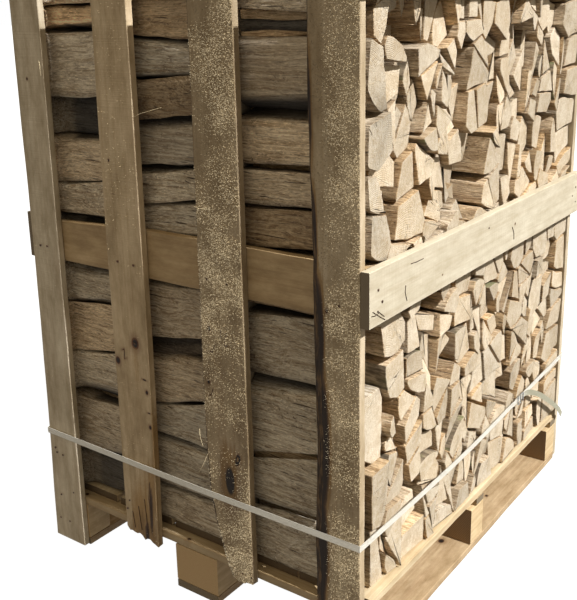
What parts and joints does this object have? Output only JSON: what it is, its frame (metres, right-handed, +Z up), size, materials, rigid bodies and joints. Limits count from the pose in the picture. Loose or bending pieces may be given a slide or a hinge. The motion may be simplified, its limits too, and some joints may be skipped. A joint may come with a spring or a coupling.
{
  "type": "pallet crate of split firewood",
  "caption": "Slatted wooden crate on a pallet, packed with stacked split logs that show their cut ends at two sides, and bound low down by a plastic strap with a wire buckle.",
  "frame": {"origin": "on the ground under the middle of the crate, the centre of the bounding box's bottom", "axes": "+Z up; -Y is the slatted side that the picture shows on its left; +X is the end that shows the logs' cut ends; the logs lie along X"},
  "size_m": [1.0446, 1.2472, 1.62],
  "materials": {
    "pallet_wood": "rough sawn softwood",
    "crate_wood": "rough sawn softwood, weathered",
    "log_wood": "split and sawn hardwood, dry, some bark",
    "strap_plastic": "woven band, satin",
    "buckle_wire": "galvanised wire"
  },
  "bodies": {
    "root": {"skid_left": "pallet_wood", "skid_middle": "pallet_wood", "skid_right": "pallet_wood", "block_left_front": "pallet_wood", "block_left_middle": "pallet_wood", "block_left_back": "pallet_wood", "block_middle_front": "pallet_wood", "block_middle_middle": "pallet_wood", "block_middle_back": "pallet_wood", "block_right_front": "pallet_wood", "block_right_middle": "pallet_wood", "block_right_back": "pallet_wood", "stringer_front": "pallet_wood", "stringer_middle": "pallet_wood", "stringer_back": "pallet_wood", "deck_plank_1": "pallet_wood", "deck_plank_2": "pallet_wood", "deck_plank_3": "pallet_wood", "deck_plank_4": "pallet_wood", "deck_plank_5": "pallet_wood", "slat_front_1": "crate_wood", "slat_front_2": "crate_wood", "slat_front_3": "crate_wood", "slat_front_4": "crate_wood", "slat_back_1": "crate_wood", "slat_back_2": "crate_wood", "slat_back_3": "crate_wood", "slat_back_4": "crate_wood", "rail_front_middle": "crate_wood", "rail_front_top": "crate_wood", "rail_back_middle": "crate_wood", "rail_back_top": "crate_wood", "board_left_middle": "crate_wood", "board_left_top": "crate_wood", "board_right_middle": "crate_wood", "board_right_top": "crate_wood", "logs_right_1": "log_wood", "logs_right_2": "log_wood", "logs_right_3": "log_wood", "logs_right_4": "log_wood", "logs_right_5": "log_wood", "logs_right_6": "log_wood", "logs_right_7": "log_wood", "logs_middle_1": "log_wood", "logs_middle_2": "log_wood", "logs_middle_3": "log_wood", "logs_middle_4": "log_wood", "logs_middle_5": "log_wood", "logs_middle_6": "log_wood", "logs_middle_7": "log_wood", "logs_left_1": "log_wood", "logs_left_2": "log_wood", "logs_left_3": "log_wood", "logs_left_4": "log_wood", "logs_left_5": "log_wood", "logs_left_6": "log_wood", "logs_left_7": "log_wood", "strap": "strap_plastic", "strap_buckle": "buckle_wire"}
  },
  "joints": []
}
